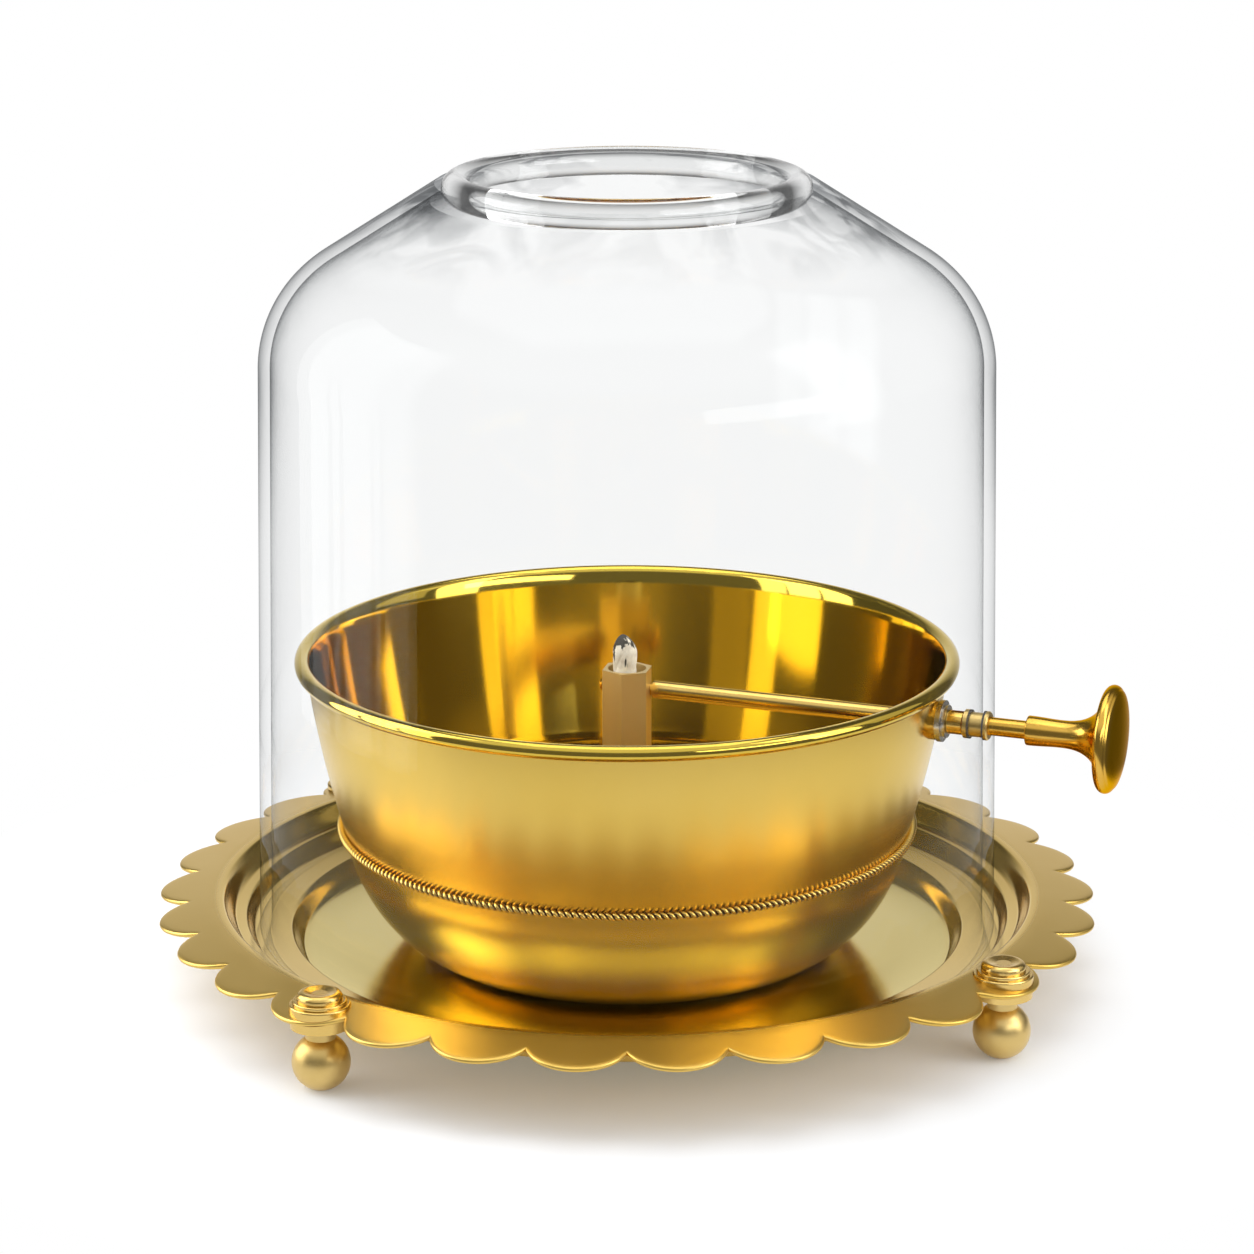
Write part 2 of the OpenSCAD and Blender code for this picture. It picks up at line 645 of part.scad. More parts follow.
tray();
foot_ball(0);  // foot_ball_right
foot_ball(1);  // foot_ball_front
foot_ball(2);  // foot_ball_left
foot_ball(3);  // foot_ball_rear
foot_drum(0);  // foot_drum_right
foot_drum(1);  // foot_drum_front
foot_drum(2);  // foot_drum_left
foot_drum(3);  // foot_drum_rear
foot_cap(0);  // foot_cap_right
foot_cap(1);  // foot_cap_front
foot_cap(2);  // foot_cap_left
foot_cap(3);  // foot_cap_rear
bowl();
rope_band();
wick_post();
post_stud();
post_gasket();
clamp_washer();
clamp_nut();
gland_bush();
gland_nut();
gland_packing();
thrust_washer();
spindle();
feed_roller();
spindle_cap();
wick();
glass_chimney();
glass_bush();
outer_gasket();
inner_gasket();
bush_nut();
keep_ring();
knob();
knob_rod();
knob_pin();
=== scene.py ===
import json
import math

import bmesh
import bpy
import numpy as np
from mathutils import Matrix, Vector


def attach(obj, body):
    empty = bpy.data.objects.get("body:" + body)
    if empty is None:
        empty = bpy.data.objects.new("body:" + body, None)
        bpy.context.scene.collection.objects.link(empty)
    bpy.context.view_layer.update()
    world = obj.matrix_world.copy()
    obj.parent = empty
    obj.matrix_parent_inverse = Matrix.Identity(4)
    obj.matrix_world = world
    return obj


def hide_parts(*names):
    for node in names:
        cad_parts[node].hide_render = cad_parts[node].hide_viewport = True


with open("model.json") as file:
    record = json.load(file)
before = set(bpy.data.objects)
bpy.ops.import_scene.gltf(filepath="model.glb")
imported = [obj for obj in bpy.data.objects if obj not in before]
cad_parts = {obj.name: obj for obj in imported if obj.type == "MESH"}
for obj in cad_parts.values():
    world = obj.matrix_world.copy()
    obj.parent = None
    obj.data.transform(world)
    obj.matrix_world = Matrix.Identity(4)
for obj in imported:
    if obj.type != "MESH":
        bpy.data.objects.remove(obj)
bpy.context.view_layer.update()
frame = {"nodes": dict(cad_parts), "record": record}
nodes = frame["nodes"]
mm = 0.001

# heights that several pieces share and the line of the knob's rod, in mm
lamp = {"floorZ": 6.1, "seatZ": 10.8, "creaseZ": 33.9, "rimZ": 72.3, "rodY": 2.95, "rodZ": 64.2}


# shader wiring
class Wire:  # a socket in a node tree; sums, products and powers of wires add Math nodes
    def __init__(self, tree, socket=None):
        self.tree, self.socket = tree, socket

    def node(self, kind, settings=None, out=0, **links):  # any node: settings first, then values or wires
        made = self.tree.nodes.new("ShaderNode" + kind)
        for key, value in (settings or {}).items():
            setattr(made, key, value)
        for key, value in links.items():
            numbered = key[0] == "i" and key[1:].isdigit()  # i0, i1 and so on are sockets by number
            socket = made.inputs[int(key[1:]) if numbered else key.replace("_", " ")]
            if isinstance(value, Wire):
                self.tree.links.new(value.socket, socket)
            else:
                socket.default_value = value
        return Wire(self.tree, made.outputs[out])

    def math(self, operation, a, b=0.0):
        return self.node("Math", {"operation": operation}, i0=a, i1=b)

    def __add__(self, other):
        return self.math("ADD", self, other)

    def __radd__(self, other):
        return self.math("ADD", other, self)

    def __sub__(self, other):
        return self.math("SUBTRACT", self, other)

    def __rsub__(self, other):
        return self.math("SUBTRACT", other, self)

    def __mul__(self, other):
        return self.math("MULTIPLY", self, other)

    def __rmul__(self, other):
        return self.math("MULTIPLY", other, self)

    def __pow__(self, other):
        return self.math("POWER", self, other)

    def clamped(self, low, high):  # maps low..high onto 0..1
        return self.node("MapRange", i0=self, i1=low, i2=high, i3=0.0, i4=1.0)

    def mixed(self, a, b):  # colour a where this is 0 and b where it is 1
        return self.node("Mix", {"data_type": "RGBA"}, out=2, i0=self, i6=a, i7=b)


def newMaterial(name):
    mat = bpy.data.materials.new(name)
    mat.use_nodes = True
    tree = mat.node_tree
    tree.nodes.clear()
    output = tree.nodes.new("ShaderNodeOutputMaterial")
    return mat, Wire(tree), output


def show(shader, output):  # what the material shows
    shader.tree.links.new(shader.socket, output.inputs["Surface"])


def rgb(r, g, b):
    return (r, g, b, 1.0)


def place(wire):  # the piece's own coordinates, whole and as x, y and z
    spot = wire.node("TexCoord", out=3)
    split = wire.node("SeparateXYZ", i0=spot).socket.node
    return [spot] + [Wire(wire.tree, split.outputs[i]) for i in range(3)]


def fromAxis(x, y):  # distance from the lamp's upright axis
    return (x * x + y * y) ** 0.5


def noise(wire, spot, scale, detail, **more):  # a random pattern, scale in features a metre
    return wire.node("TexNoise", Vector=spot, Scale=scale, Detail=detail, **more)


def latheLines(wire, along, scale, detail):  # tool marks: noise that changes along one distance only
    return wire.node("TexNoise", {"noise_dimensions": "1D"}, W=along * scale, Scale=1.0, Detail=detail)


def bumped(wire, height, strength, deep=0.0002):
    return wire.node("Bump", Strength=strength, Distance=deep, Height=height)


def mottled(cloud, look):  # a look's pale colour, clouded with its deep one
    return cloud.clamped(0.3, 0.7).mixed(look["pale"], look["deep"])


# polished brass of tray and small fittings; places in metres from the axis
# the dish colour is a painted reflection: the tray's sunk floor drawn paler
brassLook = {"pale": rgb(0.79, 0.55, 0.155), "deep": rgb(0.73, 0.485, 0.105), "rough": 0.07, "bump": 0.035,
             "cloud": 14.0, "smear": 95.0, "lines": 5200.0,
             "dish": rgb(0.83, 0.665, 0.24), "dishReflectionR": (0.072, 0.0765), "flangeR": (0.0922, 0.0934)}


def polishedBrass(name, flange=0.0, dish=0.0):  # roughness added on the flange, paleness of the sunk floor
    mat, wire, output = newMaterial(name)
    spot, x, y, z = place(wire)
    radius = fromAxis(x, y)
    cloud = noise(wire, spot, brassLook["cloud"], 4.0, Roughness=0.55)
    smear = noise(wire, spot, brassLook["smear"], 3.0, Roughness=0.6)
    lines = latheLines(wire, radius + z, brassLook["lines"], 2.0)
    sunk = 1 - radius.clamped(*brassLook["dishReflectionR"])
    # painted reflection: the sunk floor is drawn paler, as if it mirrored the bright room
    base = (sunk * dish).mixed(mottled(cloud, brassLook), brassLook["dish"])
    outer = radius.clamped(*brassLook["flangeR"])
    rough = brassLook["rough"] + 0.05 * cloud + 0.04 * smear + 0.03 * lines + flange * outer
    bump = bumped(wire, lines + 0.4 * smear, brassLook["bump"])
    show(wire.node("BsdfPrincipled", Base_Color=base, Metallic=1.0, Roughness=rough, Normal=bump), output)
    return mat


# spun brass of the bowl; heights in metres
# the darker colours for the basin, for the inside and low inside the bowl are painted shade
spunLook = {"pale": rgb(0.89, 0.635, 0.165), "deep": rgb(0.84, 0.575, 0.11), "rough": 0.24, "bump": 0.0015,
            "cloud": 11.0, "lines": 2600.0, "stretch": 0.65, "stretchTurn": 0.25,
            "basin": rgb(0.73, 0.54, 0.08), "basinShadeZ": (0.031, 0.035),
            "inner": rgb(0.70, 0.50, 0.065), "gloss": 0.06,
            "lowShade": rgb(0.34, 0.20, 0.02), "lowShadeZ": (0.026, 0.044)}


def spunBrass():  # fine lathe rings outside blur reflections up and down; inside is buffed to a gloss and drawn darker, as painted shade
    mat, wire, output = newMaterial("spunBrass")
    spot, x, y, z = place(wire)
    cloud = noise(wire, spot, spunLook["cloud"], 4.0, Roughness=0.55)
    lines = latheLines(wire, fromAxis(x, y) + z, spunLook["lines"], 3.0)
    # painted shade: the basin low in the bowl is drawn in a darker, more saturated brass
    metal = z.clamped(*spunLook["basinShadeZ"]).mixed(spunLook["basin"], mottled(cloud, spunLook))
    inside = wire.node("Attribute", {"attribute_name": "inside"}, out=2)
    lowShadeMask = inside * (1 - z.clamped(*spunLook["lowShadeZ"])) * 0.8  # painted shade: the inside turns dark brown low in the bowl
    base = lowShadeMask.mixed((inside * 0.8).mixed(metal, spunLook["inner"]), spunLook["lowShade"])
    satin = spunLook["rough"] + 0.03 * cloud + 0.006 * lines
    gloss = spunLook["gloss"] + 0.02 * cloud + 0.02 * lines
    rough = satin * (1 - inside) + gloss * inside
    bump = bumped(wire, lines, spunLook["bump"])
    show(wire.node("BsdfPrincipled", Base_Color=base, Metallic=1.0, Roughness=rough, Normal=bump,
                   Anisotropic=spunLook["stretch"], Anisotropic_Rotation=spunLook["stretchTurn"]), output)
    return mat


# satin turned brass: balls and bushes, the post, and the feet's caps and drums
satinMarks = {"cloud": 60.0, "grain": 2600.0, "turned": 4200.0, "bump": 0.05}
satinLook = {"pale": rgb(0.76, 0.57, 0.24), "deep": rgb(0.66, 0.46, 0.15), "rough": 0.30}
# painted light: the wick post gets a paler, rougher copy of the satin brass; the paler colour stands in for
# the light on it
postLitLook = {"pale": rgb(0.88, 0.70, 0.35), "deep": rgb(0.83, 0.63, 0.28), "rough": 0.38}
capLook = {"pale": rgb(0.80, 0.57, 0.20), "deep": rgb(0.72, 0.48, 0.13), "rough": 0.17}


def satinBrass(name, look):
    mat, wire, output = newMaterial(name)
    spot, x, y, z = place(wire)
    cloud = noise(wire, spot, satinMarks["cloud"], 4.0)
    grain = noise(wire, spot, satinMarks["grain"], 2.0)
    turned = latheLines(wire, z, satinMarks["turned"], 2.0)
    rough = look["rough"] + 0.08 * cloud + 0.05 * grain
    bump = bumped(wire, turned + grain, satinMarks["bump"])
    show(wire.node("BsdfPrincipled", Base_Color=mottled(cloud, look), Metallic=1.0, Roughness=rough,
                   Normal=bump), output)
    return mat


# warm bronze of knob, rod and spindle
bronzeMarks = {"cloud": 70.0, "rings": 5000.0, "bump": 0.05}
bronzeLook = {"pale": rgb(0.79, 0.48, 0.09), "deep": rgb(0.68, 0.385, 0.055), "rough": 0.14,
              "edge": rgb(0.90, 0.60, 0.20)}
# painted highlight: the spindle gets a paler copy of the bronze, drawn lighter than the knob
spindleLitLook = {"pale": rgb(0.82, 0.56, 0.17), "deep": rgb(0.72, 0.46, 0.11), "rough": 0.13,
               "edge": rgb(0.95, 0.80, 0.50)}


def warmBronze(name, look):
    mat, wire, output = newMaterial(name)
    spot, x, y, z = place(wire)
    cloud = noise(wire, spot, bronzeMarks["cloud"], 4.0)
    rings = latheLines(wire, x, bronzeMarks["rings"], 2.0)
    rough = look["rough"] + 0.08 * cloud + 0.05 * rings
    bump = bumped(wire, rings, bronzeMarks["bump"])
    show(wire.node("BsdfPrincipled", Base_Color=mottled(cloud, look), Metallic=1.0, Roughness=rough,
                   Specular_Tint=look["edge"], Normal=bump), output)
    return mat


steelLook = {"pale": rgb(0.74, 0.72, 0.68), "deep": rgb(0.58, 0.55, 0.50), "rough": 0.22, "cloud": 300.0,
             "bump": 0.06}


def platedSteel():
    mat, wire, output = newMaterial("platedSteel")
    spot = place(wire)[0]
    cloud = noise(wire, spot, steelLook["cloud"], 3.0)
    rough = steelLook["rough"] + 0.12 * cloud
    bump = bumped(wire, cloud, steelLook["bump"])
    show(wire.node("BsdfPrincipled", Base_Color=mottled(cloud, steelLook), Metallic=1.0, Roughness=rough,
                   Normal=bump), output)
    return mat


rubberLook = {"dark": rgb(0.05, 0.045, 0.04), "worn": rgb(0.11, 0.10, 0.09), "rough": 0.65, "grain": 1800.0,
              "bump": 0.15}


def gasketRubber():
    mat, wire, output = newMaterial("gasketRubber")
    spot = place(wire)[0]
    grain = noise(wire, spot, rubberLook["grain"], 3.0)
    base = grain.mixed(rubberLook["dark"], rubberLook["worn"])
    rough = rubberLook["rough"] + 0.15 * grain
    bump = bumped(wire, grain, rubberLook["bump"])
    show(wire.node("BsdfPrincipled", Base_Color=base, Roughness=rough, Normal=bump), output)
    return mat


lipLook = {"tint": rgb(0.985, 0.992, 0.99), "dusty": rgb(0.96, 0.97, 0.965), "dust": 420.0, "rough": 0.0,
           "index": 1.45, "shadow": rgb(0.95, 0.96, 0.96)}


def lipGlass():  # the solid bead at the mouth bends what is behind it
    mat, wire, output = newMaterial("lipGlass")
    spot = place(wire)[0]
    dust = noise(wire, spot, lipLook["dust"], 4.0)
    base = dust.clamped(0.55, 0.8).mixed(lipLook["tint"], lipLook["dusty"])
    bead = wire.node("BsdfPrincipled", Base_Color=base, Roughness=lipLook["rough"], IOR=lipLook["index"],
                     Transmission_Weight=1.0)
    clear = wire.node("BsdfTransparent", Color=lipLook["shadow"])
    shadowRay = wire.node("LightPath", out=1)
    show(wire.node("MixShader", i0=shadowRay, i1=bead, i2=clear), output)
    return mat


# thin wall of the chimney; heights in metres
# the edge colour is painted shade, the grey laid where the wall turns away
wallLook = {"clear": rgb(0.985, 0.987, 0.987), "edge": rgb(0.30, 0.31, 0.32),
            "darkEdgeMost": 0.9, "darkEdgePower": 13.0, "bendZ": (0.100, 0.135),
            "neckZ": (0.165, 0.175), "neckMost": 1.7, "neckPower": 2.6,
            "swirl": 55.0, "wave": 22.0, "waveBump": 0.06, "waveDeep": 0.001,
            "bright": rgb(0.97, 0.98, 0.98), "dull": rgb(0.90, 0.92, 0.92), "dust": 320.0, "rough": 0.012,
            "mirrorLeast": 0.009, "mirrorMost": 0.25, "mirrorPower": 6.0}


def wallGlass():  # clear face on, greyer where it turns away, a painted dark edge in place of the dark surroundings the glass bends into view; more mirror-like there too
    mat, wire, output = newMaterial("wallGlass")
    spot, x, y, z = place(wire)
    look = wallLook
    facing = wire.node("LayerWeight", out=1, Blend=0.5)
    swirl = noise(wire, spot, look["swirl"], 2.0, Distortion=1.2)
    neckDarkStreaks = z.clamped(*look["neckZ"]) * swirl.clamped(0.45, 0.57)  # painted shade: dark streaks in the neck, where the wall thickens to the lip
    neck = neckDarkStreaks * facing ** look["neckPower"] * look["neckMost"]
    bend = z.clamped(*look["bendZ"]) * (1.25 - 0.75 * swirl)  # painted shade: the shoulder's curve gets more of the dark edge
    # painted shade: how much dark grey each glancing edge gets
    rim = (look["darkEdgeMost"] + bend) * facing ** (look["darkEdgePower"] - 4.0 * bend)
    clear = wire.node("BsdfTransparent", Color=look["clear"])
    edge = wire.node("BsdfTransparent", Color=look["edge"])
    body = wire.node("MixShader", i0=wire.math("MINIMUM", rim + neck, 1.0), i1=clear, i2=edge)
    dust = noise(wire, spot, look["dust"], 4.0)
    wave = noise(wire, spot, look["wave"], 1.0)
    bump = bumped(wire, wave, look["waveBump"], look["waveDeep"])  # slow waviness of blown glass
    mirror = wire.node("BsdfPrincipled", Base_Color=dust.mixed(look["bright"], look["dull"]), Metallic=1.0,
                       Roughness=look["rough"] + 0.02 * dust, Normal=bump)
    share = look["mirrorLeast"] + look["mirrorMost"] * facing ** look["mirrorPower"]
    show(wire.node("MixShader", i0=share, i1=body, i2=mirror), output)
    return mat


# twisted cotton; the charred length is in metres of height
wickLook = {"cotton": rgb(0.96, 0.90, 0.76), "shade": rgb(0.74, 0.66, 0.53), "char": rgb(0.012, 0.011, 0.010),
            "charZ": (0.0736, 0.0745), "ragged": 0.022, "fibre": 1500.0, "patch": 420.0, "streak": 480.0,
            "bump": 0.5, "bumpDeep": 0.0004, "rough": 0.92, "shine": 0.1}


def cottonWick():
    mat, wire, output = newMaterial("cottonWick")
    spot, x, y, z = place(wire)
    fibre = noise(wire, spot, wickLook["fibre"], 5.0, Roughness=0.7)
    patch = noise(wire, spot, wickLook["patch"], 3.0)
    cloth = patch.clamped(0.42, 0.66).mixed(wickLook["cotton"], wickLook["shade"])
    lengthwise = wire.node("VectorMath", {"operation": "MULTIPLY"}, i0=spot, i1=(1, 1, 0.3))
    streak = noise(wire, lengthwise, wickLook["streak"], 3.0)
    char = (z + wickLook["ragged"] * (streak - 0.5)).clamped(*wickLook["charZ"])
    base = (char * 0.92).mixed(cloth, wickLook["char"])
    bump = bumped(wire, fibre, wickLook["bump"], wickLook["bumpDeep"])
    show(wire.node("BsdfPrincipled", Base_Color=base, Roughness=wickLook["rough"] - 0.1 * fibre,
                   Specular_IOR_Level=wickLook["shine"], Normal=bump), output)
    return mat


looks = {"polished_brass": polishedBrass("polishedBrass"), "satin_brass": satinBrass("satinBrass", satinLook),
         "bronze": warmBronze("warmBronze", bronzeLook), "steel": platedSteel(), "gasket": gasketRubber(),
         "wick": cottonWick(), "glass": wallGlass()}
slotOf = {part["node"]: part["material_slot"] for part in frame["record"]["subparts"]}
lipFinish = lipGlass()
bowlFinish = spunBrass()
trayFinish = polishedBrass("trayBrass", flange=0.20, dish=0.9)
footFinish = satinBrass("footBrass", capLook)
ownFinish = {"wick_post": satinBrass("postLitBrass", postLitLook),
             "spindle": warmBronze("spindleLitBronze", spindleLitLook)}
ownFinish.update({name: footFinish for name in nodes if name.startswith(("foot_cap", "foot_drum"))})
for name, obj in nodes.items():
    obj.data.materials.clear()
    obj.data.materials.append(ownFinish.get(name) or looks[slotOf[name]])
print("finishes:", len(looks), "on", len(nodes), "nodes")


# surfaces; profiles and grids are in mm
def arc(cx, cy, r, a0, a1, n):  # points on a circle from angle a0 to a1, in degrees
    a = np.radians(np.linspace(a0, a1, n))
    return np.stack([cx + r * np.cos(a), cy + r * np.sin(a)], -1)


def softStep(p, q, n):  # a step from p to q, level at both ends: rise 3t^2 - 2t^3 over run t
    t = np.linspace(0, 1, n)
    return np.stack([p[0] + (q[0] - p[0]) * t, p[1] + (q[1] - p[1]) * (3 - 2 * t) * t * t], -1)


def line(p, q, n):  # points from p up to q, without q
    t = np.linspace(0, 1, n, endpoint=False)[:, None]
    return np.array(p) * (1 - t) + np.array(q) * t


def gridMesh(name, points, loopRows, loopColumns, slot, body, sharp=40.0, look=None, inside=None):
    # points is a rows x columns x 3 grid; rows or columns may close on themselves; poles are merged
    rows, columns = points.shape[:2]
    index = np.arange(rows * columns).reshape(rows, columns)
    down = np.roll(index, -1, 0) if loopRows else index[1:]
    top = index if loopRows else index[:-1]
    a, b = (top, down) if loopColumns else (top[:, :-1], down[:, :-1])
    c, d = (np.roll(down, -1, 1), np.roll(top, -1, 1)) if loopColumns else (down[:, 1:], top[:, 1:])
    faces = np.stack([a, b, c, d], -1).reshape(-1, 4)
    mesh = bpy.data.meshes.new(name)
    mesh.vertices.add(rows * columns)
    mesh.vertices.foreach_set("co", (points.reshape(-1, 3) * mm).astype(np.float32).ravel())
    mesh.loops.add(faces.size)
    mesh.loops.foreach_set("vertex_index", faces.ravel().astype(np.int32))
    mesh.polygons.add(len(faces))
    mesh.polygons.foreach_set("loop_start", np.arange(0, faces.size, 4, dtype=np.int32))
    mesh.update(calc_edges=True)
    if inside is not None:
        marks = mesh.attributes.new("inside", "FLOAT", "POINT")
        marks.data.foreach_set("value", inside.astype(np.float32).ravel())
    work = bmesh.new()
    work.from_mesh(mesh)
    bmesh.ops.remove_doubles(work, verts=work.verts, dist=1e-7)
    bmesh.ops.recalc_face_normals(work, faces=work.faces)
    work.to_mesh(mesh)
    work.free()
    mesh.shade_smooth()
    mesh.set_sharp_from_angle(angle=math.radians(sharp))
    obj = bpy.data.objects.new(name, mesh)
    bpy.context.scene.collection.objects.link(obj)
    mesh.materials.append(look or looks[slot])
    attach(obj, body)
    return obj


def turnedUp(profile, turns):  # profile of (radius, height) carried round the upright axis
    a = np.linspace(0, 2 * np.pi, turns, endpoint=False)[:, None]
    r, h = profile[:, 0], profile[:, 1]
    return np.stack([r * np.cos(a), r * np.sin(a), h + 0 * a], -1)


def turnedOut(profile, turns):  # profile of (distance, radius) carried round the knob's line
    a = np.linspace(0, 2 * np.pi, turns, endpoint=False)[:, None]
    d, r = profile[:, 0], profile[:, 1]
    return np.stack([d + 0 * a, lamp["rodY"] + r * np.cos(a), lamp["rodZ"] + r * np.sin(a)], -1)


tray = {"tipR": 106.0, "notchR": 99.2, "scallops": 30, "turn": -15.0, "sheet": 1.0, "seatFrom": 76.4,
        "floorStep": 3.4, "seatTo": 84.1, "ringR": 86.4, "ringTo": 88.2, "ringZ": 14.2, "crestFrom": 91.6,
        "crestTo": 93.0, "crestZ": 18.6, "drop": 1.85, "perLobe": 24, "underOut": 0.8}


def scallopEdge(a):  # radius of the edge at angle a: arcs of one circle per scallop, meeting in notches
    pitch = 2 * np.pi / tray["scallops"]
    half = tray["notchR"] * np.sin(pitch / 2)
    rise = tray["tipR"] - tray["notchR"] * np.cos(pitch / 2)
    lobe = (half ** 2 + rise ** 2) / (2 * rise)
    centre = tray["tipR"] - lobe
    off = (a - np.radians(tray["turn"]) + pitch / 2) % pitch - pitch / 2
    return centre * np.cos(off) + np.sqrt(lobe ** 2 - (centre * np.sin(off)) ** 2)


def makeTray():  # a stepped dish; past its crest the flange droops evenly to the scalloped, rounded edge
    t = tray["sheet"]
    floorZ, seatZ = lamp["floorZ"], lamp["seatZ"]
    crestR, crestZ = tray["crestTo"], tray["crestZ"]
    floorEnd = tray["seatFrom"] - tray["floorStep"]
    dish = np.concatenate([
        line((0, floorZ), (floorEnd, floorZ), 7),
        softStep((floorEnd, floorZ), (tray["seatFrom"], seatZ), 14),
        softStep((tray["seatTo"], seatZ), (tray["ringR"], tray["ringZ"]), 12),
        softStep((tray["ringTo"], tray["ringZ"]), (tray["crestFrom"], crestZ), 14),
        [[crestR, crestZ]]])
    turns = tray["scallops"] * tray["perLobe"]
    a = np.radians(tray["turn"]) + (np.arange(turns) + 0.5 * tray["perLobe"]) * 2 * np.pi / turns
    edge = scallopEdge(a)[:, None]
    slope = tray["drop"] / (tray["tipR"] - crestR)
    share = np.array([0.25, 0.5, 0.75, 0.92])  # of the way from the crest to the bead
    flangeR = crestR + (edge - t / 2 - crestR) * share
    flangeZ = crestZ - (flangeR - crestR) * slope
    bead = np.radians(np.array([80, 45, 0, -45, -80]))
    rimR = edge - t / 2 + t / 2 * np.cos(bead)
    rimZ = crestZ - (edge - crestR) * slope - t / 2 + t / 2 * np.sin(bead)
    topR, topZ = np.tile(dish[:, 0], (turns, 1)), np.tile(dish[:, 1], (turns, 1))
    lowR, lowZ = topR + np.where(dish[:, 0] > 0, tray["underOut"] * t, 0), topZ - t
    r = np.concatenate([topR, flangeR, rimR, flangeR[:, ::-1], lowR[:, ::-1]], 1)
    z = np.concatenate([topZ, flangeZ, rimZ, flangeZ[:, ::-1] - t, lowZ[:, ::-1]], 1)
    grid = np.stack([r * np.cos(a)[:, None], r * np.sin(a)[:, None], z], -1)
    piece = gridMesh("tray_sheet", grid, True, False, "polished_brass", "base", 45.0, trayFinish)
    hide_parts("tray")


bowl = {"rimR": 72.4, "roll": 1.7, "sheet": 1.2, "creaseR": 63.4, "creaseH": 27.8, "baseR": 42.0,
        "fullness": 1.7, "bow": 0.7, "bossX": 71.93, "bossL": 3.4, "bossD": 8.6, "turns": 360}


def basin(r, top, deep, n):  # lower bowl: radius base + (crease - base)(1 - u^f)^(1/f), u from the base up
    u = np.cos(np.linspace(0, np.pi / 2, n))
    full = bowl["fullness"]
    return np.stack([bowl["baseR"] + (r - bowl["baseR"]) * (1 - u ** full) ** (1 / full), top - deep * u], -1)


def wall(r0, r1, z0, z1, n):  # upper wall, bowed out by 4t(1 - t) between the crease and the rim
    t = np.linspace(0, 1, n)
    return np.stack([r0 + (r1 - r0) * t + bowl["bow"] * 4 * t * (1 - t), z0 + (z1 - z0) * t], -1)


def makeBowl():  # one profile up the outside, over the rolled rim and down the inside; then the gland's boss
    creaseZ, rimZ, floorZ = lamp["creaseZ"], lamp["rimZ"], lamp["floorZ"]
    roll, t, creaseR, deep = bowl["roll"], bowl["sheet"], bowl["creaseR"], bowl["creaseH"]
    wallTop, wallR = rimZ - roll * 0.5, bowl["rimR"] - roll * 0.5
    outside = np.concatenate([
        line((0, floorZ), (bowl["baseR"], floorZ), 6),
        basin(creaseR, creaseZ, deep, 40),
        wall(creaseR + 0.6, wallR, creaseZ + 1.1, wallTop - roll * 0.4, 26)])
    rimAndInside = np.concatenate([
        arc(bowl["rimR"], rimZ, roll, -115, 165, 30),
        wall(creaseR - t + 0.4, wallR - t, creaseZ + 1.3, wallTop, 26)[::-1],
        basin(creaseR - t, creaseZ, deep - t, 40)[::-1],
        line((0, floorZ + t), (bowl["baseR"], floorZ + t), 6)[::-1]])
    profile = np.concatenate([outside, rimAndInside])
    inside = np.tile(np.arange(len(profile)) >= len(outside), (bowl["turns"], 1))
    grid = turnedUp(profile, bowl["turns"])
    piece = gridMesh("bowl_shell", grid, True, False, "polished_brass", "base", 35.0, bowlFinish, inside)
    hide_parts("bowl")
    x0, x1, r = bowl["bossX"] - bowl["bossL"], bowl["bossX"], bowl["bossD"] / 2
    boss = np.array([[x0, 0], [x0, r - 0.3], [x0 + 0.3, r], [x1 - 0.2, r], [x1, r - 0.2], [x1, 0]])
    gridMesh("bowl_boss", turnedOut(boss, 64), True, False, "polished_brass", "base")


rope = {"ringR": 64.47, "thick": 1.9, "turns": 140, "perTurn": 14, "sides": 8, "strands": 2, "swell": 1.02,
        "groove": rgb(0.24, 0.12, 0.015), "grooveShare": (0.30, 0.46), "smear": 240.0, "rough": 0.26}


def ropeBrass():  # old polish stays in the grooves, which lie nearer the rope's middle
    mat, wire, output = newMaterial("ropeBrass")
    spot, x, y, z = place(wire)
    off = fromAxis(x, y) - rope["ringR"] * mm
    up = z - lamp["creaseZ"] * mm
    low, high = [share * rope["thick"] * mm for share in rope["grooveShare"]]
    back = ((off * off + up * up) ** 0.5).clamped(low, high)  # 0 in a groove, 1 on a strand's back
    smear = noise(wire, spot, rope["smear"], 3.0)
    base = back.mixed(rope["groove"], brassLook["pale"])
    rough = rope["rough"] - 0.12 * back + 0.06 * smear
    show(wire.node("BsdfPrincipled", Base_Color=base, Metallic=1.0, Roughness=rough), output)
    return mat


def makeRope():  # strands wound round a ring, each a tube at half the rope's thickness
    lift = rope["thick"] / 4
    a = np.linspace(0, 2 * np.pi, rope["turns"] * rope["perTurn"], endpoint=False)
    out = np.stack([np.cos(a), np.sin(a), 0 * a], -1)
    along = np.stack([-np.sin(a), np.cos(a), 0 * a], -1)
    up = np.array([0, 0, 1.0])
    psi = np.linspace(0, 2 * np.pi, rope["sides"], endpoint=False)[None, :, None]
    finish = ropeBrass()
    for k in range(rope["strands"]):
        phase = (-rope["turns"] * a + 2 * np.pi * k / rope["strands"])[:, None]
        lean = np.cos(phase) * out + np.sin(phase) * up  # from the ring to the strand's middle
        turn = -np.sin(phase) * out + np.cos(phase) * up
        path = out * rope["ringR"] + up * lamp["creaseZ"] + lift * lean
        run = along * rope["ringR"] - turn * lift * rope["turns"]
        run /= np.linalg.norm(run, axis=1, keepdims=True)
        side = np.cross(run, lean)
        ring = np.cos(psi) * lean[:, None] + np.sin(psi) * side[:, None]
        grid = path[:, None] + lift * rope["swell"] * ring
        piece = gridMesh("rope_strand_%d" % (k + 1), grid, True, True, "polished_brass", "base", 80.0, finish)
        if k == 0:
            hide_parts("rope_band")


glass = {"footR": 83.2, "topR": 80.4, "shoulderR": 28.0, "slope": 32.5, "mouthR": 33.6, "lip": 6.6,
         "high": 181.0, "wall": 2.6, "footH": 0.8, "turns": 288}


